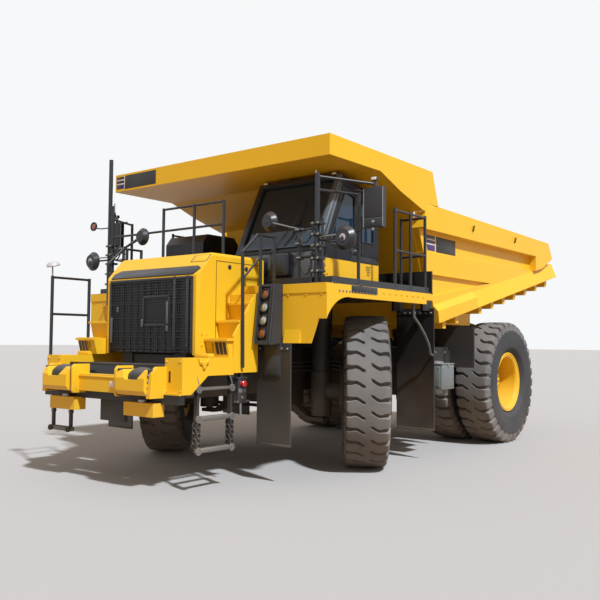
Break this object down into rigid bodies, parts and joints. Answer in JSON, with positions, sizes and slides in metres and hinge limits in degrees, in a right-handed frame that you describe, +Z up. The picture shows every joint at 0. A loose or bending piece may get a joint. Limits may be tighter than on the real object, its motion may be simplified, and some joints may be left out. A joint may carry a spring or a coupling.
{
  "type": "mining dump truck",
  "caption": "Rigid-frame mining dump truck with hinged tipping bed and cab canopy, hoist cylinders, steered front wheels, paired rear wheels, decks, stairs and a cab with doors.",
  "frame": {"origin": "middle of the truck's bounding box, on the ground", "axes": "+X towards the front bumper, +Y to the left side, +Z up"},
  "size_m": [10.18, 5.395, 4.65],
  "materials": {
    "yellow_paint": "satin, dusty",
    "dark_paint": "satin",
    "frame_paint": "matt, dusty",
    "engine_iron": "painted casting",
    "tyre_rubber": "dusty rubber",
    "polished_rod": "polished",
    "cab_glass": "tinted",
    "cab_trim": "textured"
  },
  "bodies": {
    "chassis": {"frame_rails": "frame_paint", "rear_axle": "frame_paint", "front_suspension": "frame_paint", "engine_block": "engine_iron", "hood": "yellow_paint", "radiator_grille": "dark_paint", "front_bumper": "yellow_paint", "stair_left": "yellow_paint", "stair_right": "yellow_paint", "deck_left": "yellow_paint", "deck_right": "yellow_paint", "lamp_column_left": "dark_paint", "lamp_column_right": "dark_paint", "handrail_left": "dark_paint", "handrail_right": "dark_paint", "cab_shell": "yellow_paint", "windscreen": "cab_glass", "cab_seat": "cab_trim", "tank_left": "yellow_paint", "tank_right": "yellow_paint", "wing_rail": "dark_paint", "air_cleaner": "dark_paint"},
    "bed": {"bed_floor": "yellow_paint", "bed_side_left": "yellow_paint", "bed_side_right": "yellow_paint", "bed_front": "yellow_paint", "bed_beam_left": "yellow_paint", "bed_beam_right": "yellow_paint"},
    "door_left_leaf": {"door_left": "yellow_paint"},
    "door_right_leaf": {"door_right": "yellow_paint"},
    "tie_rod_link": {"tie_rod": "dark_paint"},
    "steer_left": {"knuckle_left": "dark_paint"},
    "wheel_front_left": {"tyre_front_left": "tyre_rubber", "rim_front_left": "yellow_paint"},
    "wheel_rear_left": {"tyre_rear_outer_left": "tyre_rubber", "tyre_rear_inner_left": "tyre_rubber", "rims_rear_left": "yellow_paint"},
    "barrel_left": {"hoist_barrel_left": "yellow_paint"},
    "stage_left": {"hoist_stage_left": "polished_rod"},
    "rod_left": {"hoist_rod_left": "polished_rod"},
    "steer_right": {"knuckle_right": "dark_paint"},
    "wheel_front_right": {"tyre_front_right": "tyre_rubber", "rim_front_right": "yellow_paint"},
    "wheel_rear_right": {"tyre_rear_outer_right": "tyre_rubber", "tyre_rear_inner_right": "tyre_rubber", "rims_rear_right": "yellow_paint"},
    "barrel_right": {"hoist_barrel_right": "yellow_paint"},
    "stage_right": {"hoist_stage_right": "polished_rod"},
    "rod_right": {"hoist_rod_right": "polished_rod"}
  },
  "joints": [
    {"name": "bed_hinge", "type": "hinge", "parent": "chassis", "child": "bed", "pos_m": [-3.85, 0, 2], "axis": [0, -1, 0], "range_deg": [0, 48]},
    {"name": "steer_left", "type": "hinge", "parent": "chassis", "child": "steer_left", "pos_m": [1.9, 1.13, 1.08], "axis": [0, 0, 1], "range_deg": [-74.5, 3.5]},
    {"name": "wheel_front_left", "type": "hinge", "parent": "steer_left", "child": "wheel_front_left", "pos_m": [1.53561, 1.64086, 1.08], "axis": [-0.5807, 0.8141, 0], "continuous": true},
    {"name": "wheel_rear_left", "type": "hinge", "parent": "chassis", "child": "wheel_rear_left", "pos_m": [-2.4, 1.54, 1.08], "axis": [0, 1, 0], "continuous": true},
    {"name": "barrel_left", "type": "hinge", "parent": "chassis", "child": "barrel_left", "pos_m": [-1.2, 0.725, 0.72], "axis": [0, -1, 0], "range_deg": [0, 23.5]},
    {"name": "stage_left", "type": "slide", "parent": "barrel_left", "child": "stage_left", "axis": [0.1746, 0, 0.9846], "range_m": [0, 1.12]},
    {"name": "rod_left", "type": "slide", "parent": "stage_left", "child": "rod_left", "axis": [0.1746, 0, 0.9846], "range_m": [0, 1.12]},
    {"name": "steer_right", "type": "hinge", "parent": "chassis", "child": "steer_right", "pos_m": [1.9, -1.13, 1.08], "axis": [0, 0, 1], "range_deg": [-74.5, 3.5]},
    {"name": "wheel_front_right", "type": "hinge", "parent": "steer_right", "child": "wheel_front_right", "pos_m": [2.26439, -1.64086, 1.08], "axis": [-0.5807, 0.8141, 0], "continuous": true},
    {"name": "wheel_rear_right", "type": "hinge", "parent": "chassis", "child": "wheel_rear_right", "pos_m": [-2.4, -1.54, 1.08], "axis": [0, 1, 0], "continuous": true},
    {"name": "barrel_right", "type": "hinge", "parent": "chassis", "child": "barrel_right", "pos_m": [-1.2, -0.725, 0.72], "axis": [0, -1, 0], "range_deg": [0, 23.5]},
    {"name": "stage_right", "type": "slide", "parent": "barrel_right", "child": "stage_right", "axis": [0.1746, 0, 0.9846], "range_m": [0, 1.12]},
    {"name": "rod_right", "type": "slide", "parent": "stage_right", "child": "rod_right", "axis": [0.1746, 0, 0.9846], "range_m": [0, 1.12]},
    {"name": "tie_rod", "type": "hinge", "parent": "steer_left", "child": "tie_rod_link", "pos_m": [1.53365, 0.86868, 0.755], "axis": [0, 0, 1], "range_deg": [-3.5, 74.5]},
    {"name": "door_left", "type": "hinge", "parent": "chassis", "child": "door_left_leaf", "pos_m": [2.7, 1.77, 2.9], "axis": [0, 0, -1], "range_deg": [0, 80]},
    {"name": "door_right", "type": "hinge", "parent": "chassis", "child": "door_right_leaf", "pos_m": [2.7, 0.26, 2.9], "axis": [0, 0, 1], "range_deg": [0, 80]}
  ],
  "couplings": [
    {"joint": "barrel_left", "follows": "bed_hinge", "ratio": 0.478},
    {"joint": "stage_left", "follows": "bed_hinge", "m_per_rad": 1.3078},
    {"joint": "rod_left", "follows": "bed_hinge", "m_per_rad": 1.3078},
    {"joint": "barrel_right", "follows": "bed_hinge", "ratio": 0.478},
    {"joint": "stage_right", "follows": "bed_hinge", "m_per_rad": 1.3078},
    {"joint": "rod_right", "follows": "bed_hinge", "m_per_rad": 1.3078},
    {"joint": "steer_right", "follows": "steer_left", "ratio": 1},
    {"joint": "tie_rod", "follows": "steer_left", "ratio": -1}
  ]
}
